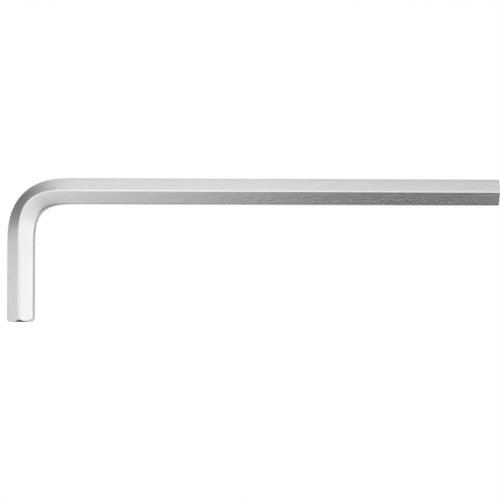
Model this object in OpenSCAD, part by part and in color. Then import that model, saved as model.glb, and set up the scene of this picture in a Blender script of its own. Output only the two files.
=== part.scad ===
/* [Steel bar] */
// Width of the hexagonal bar across its flats
across_flats = 8; // [5:0.5:10]
// Radius of the six long edges that the drawing die leaves on the bar
edge_r = 0.4; // [0.1:0.05:0.6]

/* [Arms] */
// Length of the long arm, from the short arm's outer flat to its end
long_arm = 152; // [90:1:220]
// Length of the short arm, from the long arm's outer flat to its end
short_arm = 44.5; // [38:0.5:70]

/* [Bend] */
// Tightest radius of the bar's centreline, half way round the bend
bend_r = 10.8; // [9:0.1:14]
// Distance that bending draws the two crests outwards, half way round
crest_draw = 1.05; // [0:0.05:1.5]
// Share by which the inner flat spreads and the outer flat narrows
flat_spread = 0.05; // [0:0.01:0.15]

/* [Ends] */
// Width of the round face on the short arm's end, as a share of the bar's width
tip_face = 0.985; // [0.8:0.005:0.995]
// Angle of the short arm's turned chamfer, from the arm's axis
tip_angle = 34; // [20:1:60]
// Width of the small break along the edges of the long arm's sawn end
end_break = 0.2; // [0.05:0.05:0.5]

/* [Hidden] */
// Corners are rounded to a thousandth of a millimetre, so that the bend and the arms share them exactly
function rounded(place) = [for (value = place) round(value * 1000) / 1000];

// Half width to a flat and to a crest. The key lies on two crests, with its other two on top
flat = across_flats / 2;
crest = rounded([across_flats / sqrt(3) - edge_r * (1 / cos(30) - 1)])[0];
// Points round each edge and along each flat of the bar's outline
edge_turns = [-30:15:30];
flat_shares = [0.2, 0.5, 0.8];
// Length of the centreline through the bend, and the rings that follow it
bend_len = PI * bend_r;
bend_steps = 40;
cone_facets = 96;

// Outline of the bar as [outwards from the bend, up], edge by edge from the upper crest. Its flats have
// points too, so that the bend can curve them
function polar(r, angle) = r * [cos(angle), sin(angle)];
function on_edge(edge, turn) = polar(crest - edge_r, 90 + 60 * edge) + polar(edge_r, 90 + 60 * edge + turn);
function on_flat(edge, share) = (1 - share) * on_edge(edge, 30) + share * on_edge(edge + 1, -30);
function edge_row(edge) = [for (turn = edge_turns) rounded(on_edge(edge, turn))];
function flat_row(edge) = [for (share = flat_shares) rounded(on_flat(edge, share))];
outline = [for (edge = [0:5]) each concat(edge_row(edge), flat_row(edge))];
count = len(outline);

// Curvature eases in and out as sin(180 t) squared, for t from 0 to 1, which turns the bar by this heading
function heading(t) = 90 * t - 45 * sin(360 * t) / PI;
function along(t) = [sin(heading(t)), cos(heading(t))];
function outwards(t) = [-cos(heading(t)), sin(heading(t))];
bend_path = [
    for (
        i = 0, place = [0, 0];
        i <= bend_steps;
        place = place + bend_len / bend_steps * along((i + 0.5) / bend_steps), i = i + 1
    ) rounded(place)
];
bend_size = bend_path[bend_steps];

// Straight stretches either side of the bend, centred so that the whole key stands over the origin
long_straight = long_arm - flat - bend_size.x;
short_straight = short_arm - flat - bend_size.y;
bend_start = [flat - long_arm / 2, short_arm / 2 - flat - bend_size.y, crest];
bend_end = bend_start + [bend_size.x, bend_size.y, 0];

// Bending spreads the inner flat, narrows the outer one and bows the section into a saddle
function strain(t) = sin(2 * heading(t));
function bent_up(point, t) = point.y * (1 - flat_spread * strain(t) * point.x / flat);
function bent_out(point, t) = point.x + crest_draw * strain(t) * pow(bent_up(point, t) / crest, 2);
function bent(point, i) =
    let (t = i / bend_steps, plan = bend_path[i] + bent_out(point, t) * outwards(t))
    rounded([plan.x, plan.y, bent_up(point, t)]);

// One skin over rings of the bent outline, closed by a fan of faces at each end
module bend() {
    rings = [for (i = [0:bend_steps], point = outline) bent(point, i)];
    middles = [bent([0, 0], 0), bent([0, 0], bend_steps)];
    sides = [
        for (i = [0:bend_steps - 1], j = [0:count - 1])
            let (
                a = i * count + j,
                b = i * count + (j + 1) % count,
                c = b + count,
                d = a + count
            )
            each [[b, a, d], [b, d, c]]
    ];
    caps = [
        for (j = [0:count - 1])
            let (
                next = (j + 1) % count,
                last = bend_steps * count
            )
            each [[len(rings), j, next], [len(rings) + 1, last + next, last + j]]
    ];
    translate(bend_start)
        polyhedron(points = concat(rings, middles), faces = concat(sides, caps), convexity = 4);
}

// The short arm: a cone turned on its end trims the six edges to scallops round a circular face
module short_bar() {
    face_r = tip_face * flat;
    translate(bend_start - [0, short_straight, 0])
        rotate([90, 0, 180])
            intersection() {
                linear_extrude(short_straight) polygon(outline);
                cylinder(
                    h = short_straight,
                    r1 = face_r,
                    r2 = face_r + short_straight * tan(tip_angle),
                    $fn = cone_facets
                );
            }
}

// The long arm: cut off square, with each edge of the end lightly broken at 45 degrees
module long_bar() {
    block = across_flats;
    translate(bend_end)
        rotate([90, 0, 90])
            difference() {
                linear_extrude(long_straight) polygon(outline);
                for (side = [0:5])
                    rotate([0, 0, 60 * side])
                        translate([flat, 0, long_straight - end_break])
                            rotate([0, -45, 0])
                                translate([0, -block / 2, 0])
                                    cube(block);
            }
}

module hex_key() {
    color("silver") {
        short_bar();
        bend();
        long_bar();
    }
}

hex_key();
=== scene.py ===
import math

import bpy
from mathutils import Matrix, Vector


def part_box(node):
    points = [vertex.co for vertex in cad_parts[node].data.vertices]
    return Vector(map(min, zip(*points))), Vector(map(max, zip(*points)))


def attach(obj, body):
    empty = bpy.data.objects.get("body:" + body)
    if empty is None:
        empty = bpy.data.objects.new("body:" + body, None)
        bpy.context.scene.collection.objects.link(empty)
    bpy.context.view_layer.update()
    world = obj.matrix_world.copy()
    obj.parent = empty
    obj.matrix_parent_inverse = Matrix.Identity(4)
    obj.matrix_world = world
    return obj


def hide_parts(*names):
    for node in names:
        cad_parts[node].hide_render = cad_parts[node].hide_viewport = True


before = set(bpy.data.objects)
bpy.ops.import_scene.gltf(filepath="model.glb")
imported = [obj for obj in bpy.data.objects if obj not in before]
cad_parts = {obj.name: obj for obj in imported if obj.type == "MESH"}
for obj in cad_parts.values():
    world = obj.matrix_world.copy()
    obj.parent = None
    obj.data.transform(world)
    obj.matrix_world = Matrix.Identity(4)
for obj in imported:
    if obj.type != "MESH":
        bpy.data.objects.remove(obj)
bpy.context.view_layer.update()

NODE = "hex_key"
LOW, HIGH = (Vector(corner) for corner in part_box(NODE))

# The bar as the solid has it, in metres: half its width across flats and across crests, the radius of its
# edges, the bend's tightest radius, how far it draws the crests outwards, the share by which it makes the
# inner side taller and the outer side lower, and its length along the bar
FLAT = 0.004
CREST = (HIGH.z - LOW.z) / 2
EDGE_R = 0.0004
BEND_R = 0.0108
CREST_DRAW = 0.00105
FLAT_SPREAD = 0.05
BEND_LEN = math.pi * BEND_R
# Drawing and plating leave the flats flat in the middle and a little lower towards their edges
FLAT_FALL = 0.000008
FLAT_FALL_POWER = 4
# The short arm's upper crest is rubbed down to a narrow facet: its depth under the crest, how much it rises
# towards the outside, and the two places along the bar between which it fades out
FACET_DEPTH = 0.00008
FACET_SLOPE = 0.15
FACET_FADES = (-0.002, 0.012)

# The short arm's tip: a turned cone, its axis a little off the bar's, as (outwards, up), round a face that
# is everywhere at least TIP_BREAK inside the bar's outline
TIP_FACE_R = 0.968 * FLAT
TIP_ANGLE = math.radians(34)
TIP_OFFSET = Vector((0.00012, 0))
TIP_BREAK = 0.00005
# The small break round the long arm's sawn face, and how far each rim's sharpness is eased to either side
END_BREAK = 0.0001
RIM_REACH = 0.00004

# How finely the skin is divided: round an edge, across a flat, from an end face's rim to its middle, round a
# rim, and along the bend and the arms
EDGE_STEPS = 8
FLAT_SHARES = (0.02, 0.06, 0.11, 0.18, 0.3, 0.5, 0.7, 0.82, 0.89, 0.94, 0.98)
FACE_SHARES = (0.05, 0.5)
RIM_STEPS = 4
BEND_RINGS = 160
RING_PITCH = 0.0006
# How many points at either end of a column are turned or sawn. The turned ones stop short of the cone, and
# the sawn ones reach over the small break
TURNED_ROWS = len(FACE_SHARES) + RIM_STEPS
SAWN_ROWS = len(FACE_SHARES) + RIM_STEPS + 2

# The camera looks straight down, from where the photograph's perspective puts it. Lens and sensor are in mm
CAMERA_PLACE = (-0.00093, 0.0002, 0.4447)
CAMERA_ROLL = math.radians(0.22)
CAMERA_LENS = 102.0
CAMERA_SENSOR = 36.0


# The bar's section and the line that it follows, from the same formulas as the solid

def polar(r, angle):
    return Vector((r * math.cos(angle), r * math.sin(angle)))


def spaced(start, end, count):
    """Evenly spaced values from start to end, count steps apart."""
    return [start + (end - start) * i / count for i in range(count + 1)]


def eased_step(low, high, value):
    """0 up to low, 1 from high, and a smooth rise between them."""
    share = min(max((value - low) / (high - low), 0.0), 1.0)
    return share * share * (3 - 2 * share)


def towards(edge):
    """The direction of a long edge from the bar's axis. Edge 0 is the upper crest, 0.5 the flat after it."""
    return math.radians(90 + 60 * edge)


def on_edge(edge, turn, inset):
    """A point of one of the six long edges, as (outwards from the bend, up)."""
    return polar(CREST - EDGE_R, towards(edge)) + polar(EDGE_R - inset, towards(edge) + math.radians(turn))


def section(inset=0.0):
    """The bar's outline, edge by edge from the upper crest, drawn in by inset."""
    points = []
    for edge in range(6):
        for turn in spaced(-30, 30, EDGE_STEPS):
            points.append(on_edge(edge, turn, inset) - polar(FLAT_FALL, towards(edge)))
        for share in FLAT_SHARES:
            fall = FLAT_FALL * abs(2 * share - 1) ** FLAT_FALL_POWER
            place = on_edge(edge, 30, inset).lerp(on_edge(edge + 1, -30, inset), share)
            points.append(place - polar(fall, towards(edge + 0.5)))
    return points


def heading(t):
    """How far the bar has turned, in radians, after the share t of the bend."""
    return math.pi / 2 * t - math.sin(2 * math.pi * t) / 4


def bend_path():
    """The centreline through the bend, from its start at (0, 0)."""
    places = [Vector((0.0, 0.0))]
    for i in range(BEND_RINGS):
        turn = heading((i + 0.5) / BEND_RINGS)
        places.append(places[-1] + BEND_LEN / BEND_RINGS * Vector((math.sin(turn), math.cos(turn))))
    return places


PATH = bend_path()
BEND_START = Vector((LOW.x + FLAT, HIGH.y - FLAT - PATH[-1].y))
SHORT_STRAIGHT = BEND_START.y - LOW.y
LONG_STRAIGHT = HIGH.x - BEND_START.x - PATH[-1].x
TIP_PLACE = -SHORT_STRAIGHT
SAWN_PLACE = BEND_LEN + LONG_STRAIGHT


def rubbed(along, out, up):
    """A height in the straight bar, held down to the facet on the short arm's crest."""
    faded = 1 - eased_step(*FACET_FADES, along)
    return min(up, CREST + faded * (FACET_SLOPE * out - FACET_DEPTH))


def bent(place):
    """Where a point of the straight bar, as (along, outwards, up), lies once the bar is bent."""
    along, out, up = place
    share = min(max(along / BEND_LEN, 0.0), 1.0)
    ring = min(int(share * BEND_RINGS), BEND_RINGS - 1)
    turn = heading(share)
    forwards = Vector((math.sin(turn), math.cos(turn)))
    outwards = Vector((-math.cos(turn), math.sin(turn)))
    middle = PATH[ring].lerp(PATH[ring + 1], share * BEND_RINGS - ring)
    middle = middle + (along - share * BEND_LEN) * forwards
    strain = math.sin(2 * turn)
    bent_up = rubbed(along, out, up) * (1 - FLAT_SPREAD * strain * out / FLAT)
    bent_out = out + CREST_DRAW * strain * (bent_up / CREST) ** 2
    plan = BEND_START + middle + bent_out * outwards
    return Vector((plan.x, plan.y, LOW.z + CREST + bent_up))


# The skin: one column of points along the bar for each point of its outline, with the worked ends

def eased(before, corner, after):
    """A small curve that takes the sharpness off a corner."""
    start = corner + RIM_REACH * (before - corner).normalized()
    end = corner + RIM_REACH * (after - corner).normalized()
    points = []
    for t in spaced(0, 1, RIM_STEPS):
        points.append(start.lerp(corner, t).lerp(corner.lerp(end, t), t))
    return points


def end_column(side, rim, face, middle):
    """Points from the bar's flank over the worked rim and across the end face."""
    across = [face.lerp(middle, share) for share in FACE_SHARES]
    return eased(side, rim, face) + eased(rim, face, middle) + across


def tip_column(point):
    """The short arm's end: a cone trims the edges to scallops round a circular face, a little off centre."""
    point = Vector((point.x, rubbed(TIP_PLACE, *point)))
    away = point - TIP_OFFSET
    reach = min(TIP_FACE_R, away.length - TIP_BREAK)
    side = Vector((0.0, *point))
    rim = Vector((TIP_PLACE + (away.length - reach) / math.tan(TIP_ANGLE), *point))
    face = Vector((TIP_PLACE, *(TIP_OFFSET + reach * away.normalized())))
    return end_column(side, rim, face, Vector((TIP_PLACE, 0, 0)))


def sawn_column(point, inner):
    """The long arm's end: cut square, with its edges lightly broken."""
    side = Vector((BEND_LEN, *point))
    rim = Vector((SAWN_PLACE - END_BREAK, *point))
    face = Vector((SAWN_PLACE, *inner))
    return end_column(side, rim, face, Vector((SAWN_PLACE, 0, 0)))


def bar_column(point, inner):
    """Points along the straight bar, from one end face over the flank to the other."""
    tip = tip_column(point)
    sawn = sawn_column(point, inner)
    stations = spaced(tip[0].x, 0, round(SHORT_STRAIGHT / RING_PITCH))[1:-1]
    stations += spaced(0, BEND_LEN, BEND_RINGS)
    stations += spaced(BEND_LEN, sawn[0].x, round(LONG_STRAIGHT / RING_PITCH))[1:-1]
    return tip[::-1] + [Vector((station, *point)) for station in stations] + sawn


def skin_faces(count, rows):
    """Faces between neighbouring columns, and fans round the ends' middles, the last two points."""
    tip_middle = count * rows
    sawn_middle = tip_middle + 1
    faces = []
    for j in range(count):
        here = j * rows
        there = (j + 1) % count * rows
        for i in range(rows - 1):
            faces.append((here + i, here + i + 1, there + i + 1, there + i))
        faces.append((here, there, tip_middle))
        faces.append((there + rows - 1, here + rows - 1, sawn_middle))
    return faces


def remember(mesh, name, values):
    """Gives each point of a mesh a number, under a name that its material reads."""
    mesh.attributes.new(name, "FLOAT", "POINT").data.foreach_set("value", values)


def key_mesh():
    """The skin, which also remembers where each point lay before bending and which points are on an end."""
    columns = [bar_column(point, inner) for point, inner in zip(section(), section(END_BREAK))]
    rows = len(columns[0])
    straight = [place for column in columns for place in column]
    straight += [Vector((TIP_PLACE, 0, 0)), Vector((SAWN_PLACE, 0, 0))]
    mesh = bpy.data.meshes.new("key_skin")
    mesh.from_pydata([bent(place) for place in straight], [], skin_faces(len(columns), rows))
    before = mesh.attributes.new("straight_bar", "FLOAT_VECTOR", "POINT")
    before.data.foreach_set("vector", [value for place in straight for value in place])
    every_row = [row for column in columns for row in range(rows)]
    remember(mesh, "turned", [float(row < TURNED_ROWS) for row in every_row] + [1.0, 0.0])
    remember(mesh, "sawn", [float(row >= rows - SAWN_ROWS) for row in every_row] + [0.0, 1.0])
    mesh.shade_smooth()
    return mesh


# The finish

# The plate's tone, and how much streaks, wear, specks, the darker line and warm patches change it
NICKEL_TONE = 0.765
STREAK_TONE = 0.012
WORN_TONE = 0.04
SPECK_TONE = 0.12
DARK_LINE_TONE = -0.3
WARMTH = 0.012
# Its roughness, from the lowest of the grain to the highest, and how much smoother it is where it is worn
ROUGHNESS = (0.18, 0.24)
WORN_SHINE = 0.05
# How often a pattern repeats in a metre: along the bar, outwards and up
STREAKS = (200, 1400, 1400)
GRAIN = (1800, 1000, 1000)
SPECKS = (1500, 1500, 1500)
SWELL = (160, 300, 300)
BREAKS = (420, 600, 600)
SAW_LINES = (600, 500, 5200)
RINGS_PER_METRE = 5000
# How much the finer blotches of noise count beside the next larger ones
NOISE_ROUGHNESS = 0.55
# How noise is carried over: the range of it that counts and, in the longer rows, what its ends become
NOISE_RANGE = (0.2, 0.8)
WEAR_BREAKS = (0.35, 0.6, 0.3, 1)
DARK_LINE_BREAKS = (0.35, 0.55, 1, 0.4)
SPECK_PEAKS = (0.62, 0.72, 0, 1)
WARM_PATCHES = (0.4, 0.7, 0, WARMTH)
# Heights of the relief, in metres
GRAIN_HEIGHT = 0.000034
SPECK_HEIGHT = 0.00002
SWELL_HEIGHT = 0.00002
PEEL_HEIGHT = 0.00006
SAW_HEIGHT = 0.00004
RING_HEIGHT = 0.00001
# Marks and painted shade, each with its middle and its half size in the straight bar, and the change of
# tone.
# The one inside the bend is painted shade, which darkens the bend's inner flat where it lies in the inner
# corner
MARKS_AND_PAINTED_SHADE = {
    "nick on the short arm": ((-0.0072, 0.0031, 0.0028), (0.0006, 0.0007, 0.0005), -0.16),
    "scratch that runs on from it": ((-0.0083, 0.0023, 0.0033), (0.0012, 0.0002, 0.0002), 0.15),
    # Painted shade: darkens the inner flat inside the bend, where the inner corner lies in shade
    "painted shade inside the bend": ((0.021, -0.0039, 0.0021), (0.01, 0.0008, 0.0012), -0.28),
}
# Larger places, each with its middle and its half size: a darker line beside the long arm's upper edge,
# where the plate is coarse, and where bending has roughened the steel like orange peel
DARK_LINE = (SAWN_PLACE, -0.00048, 0.0043), (0.11, 0.00034, 0.0006)
COARSE = (0.112, -0.0025, 0.003), (0.115, 0.003, 0.006)
PEEL = (BEND_LEN / 2, 0.001, 0), (BEND_LEN / 2, 0.012, 0.02)
# The share of the grain that the plate has away from the coarse place
CALM = 0.2


def add(tree, kind, **settings):
    """A node of a kind, with its settings by name."""
    made = tree.nodes.new(kind)
    for name, value in settings.items():
        setattr(made, name, value)
    return made


def scaled_place(tree, place, scale):
    """The place in the straight bar, stretched by a scale for each direction."""
    mapping = add(tree, "ShaderNodeMapping", vector_type="POINT")
    mapping.inputs["Scale"].default_value = scale
    tree.links.new(place, mapping.inputs["Vector"])
    return mapping.outputs["Vector"]


def noise(tree, place, scale, detail=3.0):
    """Soft random blotches, as many in a metre as the scale says."""
    made = add(tree, "ShaderNodeTexNoise")
    made.inputs["Scale"].default_value = 1.0
    made.inputs["Detail"].default_value = detail
    made.inputs["Roughness"].default_value = NOISE_ROUGHNESS
    tree.links.new(scaled_place(tree, place, scale), made.inputs["Vector"])
    return made.outputs["Fac"]


def spread(tree, value, low, high, to_low, to_high):
    """value carried from one range to another, smoothly and without leaving it."""
    made = add(tree, "ShaderNodeMapRange", interpolation_type="SMOOTHSTEP")
    made.inputs["From Min"].default_value = low
    made.inputs["From Max"].default_value = high
    made.inputs["To Min"].default_value = to_low
    made.inputs["To Max"].default_value = to_high
    tree.links.new(value, made.inputs["Value"])
    return made.outputs["Result"]


def combine(tree, operation, first, second):
    """Two values, of which either may be a plain number, put together by an operation."""
    made = add(tree, "ShaderNodeMath", operation=operation)
    for socket, value in zip(made.inputs, (first, second)):
        if isinstance(value, float):
            socket.default_value = value
        else:
            tree.links.new(value, socket)
    return made.outputs["Value"]


def bumped(tree, height, distance, under=None):
    """Relief: a pattern that stands out by a distance in metres, on top of the relief under it."""
    made = add(tree, "ShaderNodeBump")
    made.inputs["Strength"].default_value = 1.0
    made.inputs["Distance"].default_value = distance
    tree.links.new(height, made.inputs["Height"])
    if under:
        tree.links.new(under, made.inputs["Normal"])
    return made.outputs["Normal"]


def mark(tree, place, middle, size):
    """1 in the middle of a mark, falling to 0 at its rim. Size is the way to the rim in each direction."""
    mapping = add(tree, "ShaderNodeMapping", vector_type="TEXTURE")
    mapping.inputs["Location"].default_value = middle
    mapping.inputs["Scale"].default_value = size
    tree.links.new(place, mapping.inputs["Vector"])
    away = add(tree, "ShaderNodeVectorMath", operation="LENGTH")
    tree.links.new(mapping.outputs["Vector"], away.inputs[0])
    return spread(tree, away.outputs["Value"], 0, 1, 1, 0)


def held(tree, name):
    """What the mesh holds under a name, at each point."""
    return add(tree, "ShaderNodeAttribute", attribute_name=name)


def from_axis(tree, place):
    """The distance from the bar's axis."""
    made = add(tree, "ShaderNodeVectorMath", operation="LENGTH")
    tree.links.new(scaled_place(tree, place, (0, 1, 1)), made.inputs[0])
    return made.outputs["Value"]


def edge_wear(tree, place):
    """1 along the six long edges, where handling has rubbed the plate smooth, and broken up by noise."""
    edge = spread(tree, from_axis(tree, place), CREST - EDGE_R / 2, CREST, 0, 1)
    return combine(tree, "MULTIPLY", edge, spread(tree, noise(tree, place, BREAKS), *WEAR_BREAKS))


def sine(tree, angle):
    made = add(tree, "ShaderNodeMath", operation="SINE")
    tree.links.new(angle, made.inputs[0])
    return made.outputs["Value"]


def tool_marks(tree, place, under):
    """Rings where the short arm's end was turned, and lines across the long arm's end where it was sawn."""
    turns = combine(tree, "MULTIPLY", from_axis(tree, place), 2 * math.pi * RINGS_PER_METRE)
    rings = combine(tree, "MULTIPLY", sine(tree, turns), held(tree, "turned").outputs["Fac"])
    lines = combine(tree, "MULTIPLY", noise(tree, place, SAW_LINES), held(tree, "sawn").outputs["Fac"])
    return bumped(tree, lines, SAW_HEIGHT, bumped(tree, rings, RING_HEIGHT, under))


def nickel_tone(tree, place, specks, worn):
    """How light the plate is: streaks from drawing, light edges and specks, marks, and painted shade in the
    bend.
    """
    streaks = noise(tree, place, STREAKS, detail=2.0)
    tone = spread(tree, streaks, *NOISE_RANGE, NICKEL_TONE - STREAK_TONE, NICKEL_TONE + STREAK_TONE)
    dark_line = combine(tree, "MULTIPLY", mark(tree, place, *DARK_LINE), spread(tree, streaks, *DARK_LINE_BREAKS))
    changes = [(worn, WORN_TONE), (specks, SPECK_TONE), (dark_line, DARK_LINE_TONE)]
    for middle, size, change in MARKS_AND_PAINTED_SHADE.values():
        changes.append((mark(tree, place, middle, size), change))
    for amount, change in changes:
        tone = combine(tree, "ADD", tone, combine(tree, "MULTIPLY", amount, change))
    return tone


def nickel_colour(tree, tone, swell):
    """The plate's tone as a colour, with a little less blue in patches, which makes them warmer."""
    colour = add(tree, "ShaderNodeCombineColor")
    tree.links.new(tone, colour.inputs["Red"])
    tree.links.new(tone, colour.inputs["Green"])
    blue = combine(tree, "SUBTRACT", tone, spread(tree, swell, *WARM_PATCHES))
    tree.links.new(blue, colour.inputs["Blue"])
    return colour.outputs["Color"]


def nickel_relief(tree, place, grain, specks, swell):
    """The plate's fine relief, from the widest pattern to the finest, then the tools' marks on the ends."""
    coarse = combine(tree, "ADD", combine(tree, "MULTIPLY", mark(tree, place, *COARSE), 1 - CALM), CALM)
    relief = bumped(tree, swell, SWELL_HEIGHT)
    relief = bumped(tree, combine(tree, "MULTIPLY", swell, mark(tree, place, *PEEL)), PEEL_HEIGHT, relief)
    relief = bumped(tree, combine(tree, "MULTIPLY", grain, coarse), GRAIN_HEIGHT, relief)
    relief = bumped(tree, specks, SPECK_HEIGHT, relief)
    return tool_marks(tree, place, relief)


def nickel():
    """Satin nickel plate over drawn steel."""
    made = bpy.data.materials.new("satin_nickel")
    made.use_nodes = True
    tree = made.node_tree
    shader = tree.nodes["Principled BSDF"]
    place = held(tree, "straight_bar").outputs["Vector"]
    grain = noise(tree, place, GRAIN, detail=1.5)
    swell = noise(tree, place, SWELL, detail=1.0)
    specks = spread(tree, noise(tree, place, SPECKS, detail=1.0), *SPECK_PEAKS)
    specks = combine(tree, "MULTIPLY", specks, mark(tree, place, *COARSE))
    worn = edge_wear(tree, place)

    tone = nickel_tone(tree, place, specks, worn)
    tree.links.new(nickel_colour(tree, tone, swell), shader.inputs["Base Color"])
    shader.inputs["Metallic"].default_value = 1.0
    roughness = spread(tree, grain, *NOISE_RANGE, *ROUGHNESS)
    roughness = combine(tree, "SUBTRACT", roughness, combine(tree, "MULTIPLY", worn, WORN_SHINE))
    tree.links.new(roughness, shader.inputs["Roughness"])
    tree.links.new(nickel_relief(tree, place, grain, specks, swell), shader.inputs["Normal"])
    return made


# Floor, light and camera

# The floor's size in metres and its true shade, and the light beyond it
FLOOR_SIZE = 4.0
FLOOR_TONE = 0.85
ROOM_TONE = 1.0
# The shade that the key lays on the floor: how near the key must be, how open a place must be to stay white,
# the tone where it is closed in, and how often each place is sampled
CONTACT_REACH = 0.015
CONTACT_OPEN = 0.4
CONTACT_TONE = 0.6
CONTACT_SAMPLES = 8

# The light tent: its radius in metres, its cloth's plain tone, and how many degrees its points are apart
TENT_R = 0.4
TENT_TONE = 0.967
TENT_STEP = 3
# What breaks the tent's even tone: the azimuth from +X and the width, then the elevation that it reaches and
# how softly it ends there, all in degrees, and the change of tone
TENT_PANELS = {
    "opening in front": (-74.7, 29.5, 35.5, 25.8, -1.32),
    "dark strip low in front": (-108, 28, 20, 4, -0.8),
    "opening at the back": (152.2, 44.3, 23, 6.5, -0.77),
    "lamp on the right": (-6.2, 13.1, 55.1, 9.9, 0.32),
    "shade on the right": (71.3, 20.4, 24.7, 3, -0.47),
    "lamp on the left": (-176.8, 7, 29.2, 15.7, 0.34),
}
# The strip lamp overhead runs from front to back: how far it leans to the right and to the back from the
# vertical, then its half widths in those directions, all in degrees, and the change of tone
OVERHEAD = (-6, 26, 14, 20, 0.6)


def sky_direction(azimuth, elevation):
    """A direction given in degrees, as a vector of length 1."""
    flat_place = polar(math.cos(math.radians(elevation)), math.radians(azimuth))
    return Vector((*flat_place, math.sin(math.radians(elevation))))


def tent_tone(azimuth, elevation):
    """How bright the tent is in a direction from the key."""
    tone = TENT_TONE
    for middle, width, top, softness, change in TENT_PANELS.values():
        away = (azimuth - middle + 180) % 360 - 180
        height = 1 - eased_step(top - softness, top + softness, elevation)
        tone += change * math.exp(-(away / width) ** 2) * height
    lean, lean_back, half_width, half_length, change = OVERHEAD
    to_right, to_back, up = sky_direction(azimuth, elevation)
    across = math.degrees(math.atan2(to_right, up)) - lean
    along = math.degrees(math.atan2(to_back, up)) - lean_back
    tone += change * math.exp(-(across / half_width) ** 2 - (along / half_length) ** 2)
    return max(tone, 0.0)


def tent():
    """A dome of soft light, which the camera looks through."""
    places = []
    tones = []
    faces = []
    across = 360 // TENT_STEP
    for elevation in range(0, 90, TENT_STEP):
        for azimuth in range(0, 360, TENT_STEP):
            places.append(TENT_R * sky_direction(azimuth, elevation))
            tones.append(tent_tone(azimuth, elevation))
    rings = len(places) // across
    for ring in range(rings - 1):
        for i in range(across):
            here = ring * across + i
            there = ring * across + (i + 1) % across
            faces.append((here, there, there + across, here + across))
    faces.append(range((rings - 1) * across, rings * across))
    mesh = bpy.data.meshes.new("tent")
    mesh.from_pydata(places, [], faces)
    remember(mesh, "tone", tones)
    mesh.materials.append(glow())
    made = bpy.data.objects.new("tent", mesh)
    made.visible_camera = False
    bpy.context.scene.collection.objects.link(made)


def glow():
    """Light as bright as the tone that the mesh holds. Rays find so large a light without aiming at it."""
    made = bpy.data.materials.new("tent_light")
    made.use_nodes = True
    made.cycles.emission_sampling = "NONE"
    tree = made.node_tree
    tree.nodes.remove(tree.nodes["Principled BSDF"])
    light = add(tree, "ShaderNodeEmission")
    tree.links.new(held(tree, "tone").outputs["Fac"], light.inputs["Strength"])
    tree.links.new(light.outputs["Emission"], tree.nodes["Material Output"].inputs["Surface"])
    return made


def floor():
    """The white floor that the key lies on."""
    half = FLOOR_SIZE / 2
    corners = [(-half, -half, 0), (half, -half, 0), (half, half, 0), (-half, half, 0)]
    mesh = bpy.data.meshes.new("floor")
    mesh.from_pydata(corners, [], [range(4)])
    mesh.materials.append(floor_finish())
    made = bpy.data.objects.new("floor", mesh)
    bpy.context.scene.collection.objects.link(made)


def floor_finish():
    """White to the camera, and darker where the key all but closes it in. Reflections see its true shade."""
    made = bpy.data.materials.new("floor")
    made.use_nodes = True
    made.cycles.emission_sampling = "NONE"
    tree = made.node_tree
    tree.nodes.remove(tree.nodes["Principled BSDF"])
    matt = add(tree, "ShaderNodeBsdfDiffuse")
    matt.inputs["Color"].default_value = (FLOOR_TONE, FLOOR_TONE, FLOOR_TONE, 1)
    open_sky = add(tree, "ShaderNodeAmbientOcclusion", samples=CONTACT_SAMPLES)
    open_sky.inputs["Distance"].default_value = CONTACT_REACH
    shade = spread(tree, open_sky.outputs["AO"], 0, CONTACT_OPEN, CONTACT_TONE, 1)
    white = add(tree, "ShaderNodeEmission")
    tree.links.new(shade, white.inputs["Strength"])
    either = add(tree, "ShaderNodeMixShader")
    tree.links.new(add(tree, "ShaderNodeLightPath").outputs["Is Camera Ray"], either.inputs["Fac"])
    tree.links.new(matt.outputs["BSDF"], either.inputs[1])
    tree.links.new(white.outputs["Emission"], either.inputs[2])
    tree.links.new(either.outputs["Shader"], tree.nodes["Material Output"].inputs["Surface"])
    return made


def room():
    """Plain light from everywhere outside the tent and past the floor."""
    world = bpy.data.worlds.new("room")
    world.use_nodes = True
    background = world.node_tree.nodes["Background"]
    background.inputs["Color"].default_value = (1, 1, 1, 1)
    background.inputs["Strength"].default_value = ROOM_TONE
    world.cycles.sampling_method = "NONE"
    bpy.context.scene.world = world


def camera():
    """The scene's camera, looking straight down."""
    data = bpy.data.cameras.new("camera")
    data.lens = CAMERA_LENS
    data.sensor_width = CAMERA_SENSOR
    made = bpy.data.objects.new("camera", data)
    made.location = CAMERA_PLACE
    made.rotation_euler = (0, 0, CAMERA_ROLL)
    bpy.context.scene.collection.objects.link(made)
    bpy.context.scene.camera = made


def key():
    """The plated skin that stands for the solid."""
    made = bpy.data.objects.new("hex_key_skin", key_mesh())
    made.data.materials.append(nickel())
    bpy.context.scene.collection.objects.link(made)
    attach(made, "root")
    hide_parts(NODE)


camera()
room()
tent()
floor()
key()
# Tones reach the picture as they are, with no film curve
bpy.context.scene.view_settings.view_transform = "Standard"
